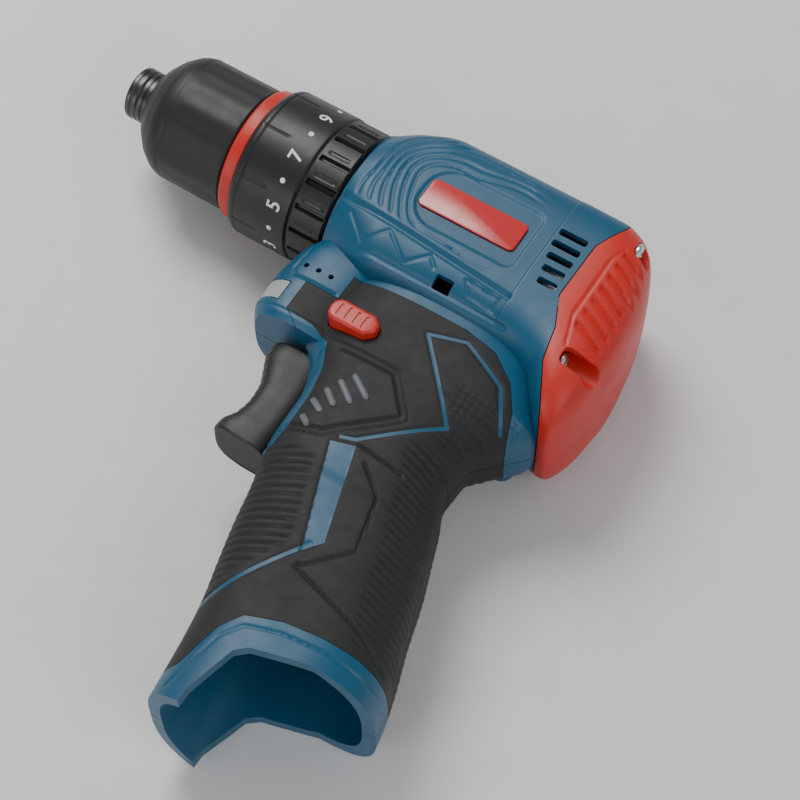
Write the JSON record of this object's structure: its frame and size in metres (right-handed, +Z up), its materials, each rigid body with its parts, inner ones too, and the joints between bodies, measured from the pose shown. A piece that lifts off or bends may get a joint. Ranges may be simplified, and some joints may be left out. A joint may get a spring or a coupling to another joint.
{
  "type": "cordless drill driver",
  "caption": "Pistol-grip cordless drill driver with keyless chuck, torque collar and hollow grip for a slide-in battery, lying on its side.",
  "frame": {"origin": "on the surface the drill lies on, under the middle of its box", "axes": "+Z up out of the left side of the drill, -X towards the nose of the chuck, +Y towards the top of the drill, so the foot of the grip points along -Y"},
  "size_m": [0.1686, 0.1818, 0.05],
  "materials": {
    "blue_shell": "fine moulded grain, satin",
    "red_shell": "fine moulded grain, satin",
    "grip_rubber": "soft matt overmould with fine ribs",
    "black_plastic": "matt moulded plastic",
    "dial_black": "satin plastic with white printed numbers",
    "badge": "plain glossy plate",
    "button_red": "satin plastic",
    "lens": "frosted clear plastic with fine lines",
    "nose_steel": "turned and blackened steel",
    "steel": "machined steel",
    "zinc": "bright zinc-plated steel",
    "alloy": "die-cast alloy",
    "brass": "bright brass",
    "armature": "laminated steel with copper windings",
    "carbon": "sintered carbon",
    "board": "green circuit board"
  },
  "bodies": {
    "housing": {"housing_left": "blue_shell", "housing_right": "blue_shell", "grip_cover_left": "grip_rubber", "grip_cover_right": "grip_rubber", "rear_cover": "red_shell", "rear_cover_screw_1": "zinc", "rear_cover_screw_2": "zinc", "rear_cover_screw_3": "zinc", "rear_cover_screw_4": "zinc", "housing_screw_1": "zinc", "housing_screw_2": "zinc", "housing_screw_3": "zinc", "housing_screw_4": "zinc", "housing_screw_5": "zinc", "badge_plate_left": "badge", "badge_plate_right": "badge", "trigger_spring": "steel", "switch_body": "black_plastic", "heat_sink": "alloy", "light_board": "board", "light_lens": "lens", "gauge_board": "board", "terminal_block": "black_plastic", "battery_contact_positive": "brass", "battery_contact_negative": "brass", "motor_can": "steel", "motor_end_cap": "black_plastic", "brush_positive": "carbon", "brush_negative": "carbon", "motor_plate": "steel", "gearbox_case": "alloy", "ring_gear_1": "steel", "spindle_bearing": "steel", "clutch_spring": "steel"},
    "trigger": {"trigger": "black_plastic"},
    "direction_button": {"direction_button": "button_red"},
    "speed_selector": {"speed_selector": "black_plastic"},
    "shift_ring": {"ring_gear_2": "steel"},
    "torque_collar": {"torque_collar": "dial_black", "accent_ring": "red_shell"},
    "clutch_nut": {"clutch_nut": "alloy"},
    "armature": {"motor_shaft": "armature", "motor_pinion": "steel", "cooling_fan": "black_plastic"},
    "first_carrier": {"planet_carrier_1": "steel"},
    "spindle": {"spindle": "steel", "planet_carrier_2": "steel", "chuck_body": "nose_steel", "chuck_screw": "steel"},
    "chuck_sleeve": {"chuck_sleeve": "black_plastic", "chuck_nut": "steel"},
    "planet_1_a": {"planet_1_a": "steel"},
    "planet_1_b": {"planet_1_b": "steel"},
    "planet_1_c": {"planet_1_c": "steel"},
    "planet_2_a": {"planet_2_a": "steel"},
    "planet_2_b": {"planet_2_b": "steel"},
    "planet_2_c": {"planet_2_c": "steel"},
    "chuck_jaw_1": {"chuck_jaw_1": "nose_steel"},
    "chuck_jaw_2": {"chuck_jaw_2": "nose_steel"},
    "chuck_jaw_3": {"chuck_jaw_3": "nose_steel"}
  },
  "joints": [
    {"name": "trigger_pull", "type": "slide", "parent": "housing", "child": "trigger", "axis": [1, 0, 0], "range_m": [0, 0.006], "stiffness_N_per_m": 700, "springref_m": -0.004, "deforming": ["trigger_spring"]},
    {"name": "direction_shift", "type": "slide", "parent": "housing", "child": "direction_button", "axis": [0, 0, 1], "range_m": [-0.003, 0.003]},
    {"name": "speed_shift", "type": "slide", "parent": "housing", "child": "speed_selector", "axis": [1, 0, 0], "range_m": [0, 0.007]},
    {"name": "ring_shift", "type": "slide", "parent": "housing", "child": "shift_ring", "axis": [1, 0, 0], "range_m": [0, 0.0031]},
    {"name": "torque_setting", "type": "hinge", "parent": "housing", "child": "torque_collar", "pos_m": [-0.02425, 0.0651, 0.025], "axis": [1, 0, 0], "range_deg": [-220, 120]},
    {"name": "clutch_feed", "type": "slide", "parent": "housing", "child": "clutch_nut", "axis": [1, 0, 0], "range_m": [-0.00195, 0.00107], "deforming": ["clutch_spring"]},
    {"name": "armature_spin", "type": "hinge", "parent": "housing", "child": "armature", "pos_m": [0.03575, 0.0651, 0.025], "axis": [1, 0, 0], "continuous": true},
    {"name": "first_carrier_spin", "type": "hinge", "parent": "housing", "child": "first_carrier", "pos_m": [0.00375, 0.0651, 0.025], "axis": [1, 0, 0], "continuous": true},
    {"name": "spindle_spin", "type": "hinge", "parent": "housing", "child": "spindle", "pos_m": [-0.02425, 0.0651, 0.025], "axis": [1, 0, 0], "continuous": true},
    {"name": "sleeve_turn", "type": "hinge", "parent": "spindle", "child": "chuck_sleeve", "pos_m": [-0.06425, 0.0651, 0.025], "axis": [1, 0, 0], "range_deg": [-810, 450]},
    {"name": "planet_1_a_spin", "type": "hinge", "parent": "first_carrier", "child": "planet_1_a", "pos_m": [0.00975, 0.07354, 0.025], "axis": [1, 0, 0], "continuous": true},
    {"name": "planet_1_b_spin", "type": "hinge", "parent": "first_carrier", "child": "planet_1_b", "pos_m": [0.00975, 0.06088, 0.03231], "axis": [1, 0, 0], "continuous": true},
    {"name": "planet_1_c_spin", "type": "hinge", "parent": "first_carrier", "child": "planet_1_c", "pos_m": [0.00975, 0.06088, 0.01769], "axis": [1, 0, 0], "continuous": true},
    {"name": "planet_2_a_spin", "type": "hinge", "parent": "spindle", "child": "planet_2_a", "pos_m": [-0.00125, 0.07354, 0.025], "axis": [1, 0, 0], "continuous": true},
    {"name": "planet_2_b_spin", "type": "hinge", "parent": "spindle", "child": "planet_2_b", "pos_m": [-0.00125, 0.06088, 0.03231], "axis": [1, 0, 0], "continuous": true},
    {"name": "planet_2_c_spin", "type": "hinge", "parent": "spindle", "child": "planet_2_c", "pos_m": [-0.00125, 0.06088, 0.01769], "axis": [1, 0, 0], "continuous": true},
    {"name": "jaw_1_slide", "type": "slide", "parent": "spindle", "child": "chuck_jaw_1", "axis": [0.9781, 0.2079, 0], "range_m": [-0.0136, 0.0076]},
    {"name": "jaw_2_slide", "type": "slide", "parent": "spindle", "child": "chuck_jaw_2", "axis": [0.9781, -0.104, 0.1801], "range_m": [-0.0136, 0.0076]},
    {"name": "jaw_3_slide", "type": "slide", "parent": "spindle", "child": "chuck_jaw_3", "axis": [0.9781, -0.104, -0.1801], "range_m": [-0.0136, 0.0076]}
  ],
  "couplings": [
    {"joint": "ring_shift", "follows": "speed_shift", "ratio": 0.42857},
    {"joint": "clutch_feed", "follows": "torque_setting", "m_per_rad": 0.00050555},
    {"joint": "first_carrier_spin", "follows": "armature_spin", "ratio": 0.22222},
    {"joint": "spindle_spin", "follows": "armature_spin", "ratio": 0.049383},
    {"joint": "planet_1_a_spin", "follows": "armature_spin", "ratio": -0.62222},
    {"joint": "planet_1_b_spin", "follows": "armature_spin", "ratio": -0.62222},
    {"joint": "planet_1_c_spin", "follows": "armature_spin", "ratio": -0.62222},
    {"joint": "planet_2_a_spin", "follows": "armature_spin", "ratio": -0.13827},
    {"joint": "planet_2_b_spin", "follows": "armature_spin", "ratio": -0.13827},
    {"joint": "planet_2_c_spin", "follows": "armature_spin", "ratio": -0.13827},
    {"joint": "jaw_1_slide", "follows": "sleeve_turn", "m_per_rad": 0.00095493},
    {"joint": "jaw_2_slide", "follows": "sleeve_turn", "m_per_rad": 0.00095493},
    {"joint": "jaw_3_slide", "follows": "sleeve_turn", "m_per_rad": 0.00095493}
  ]
}
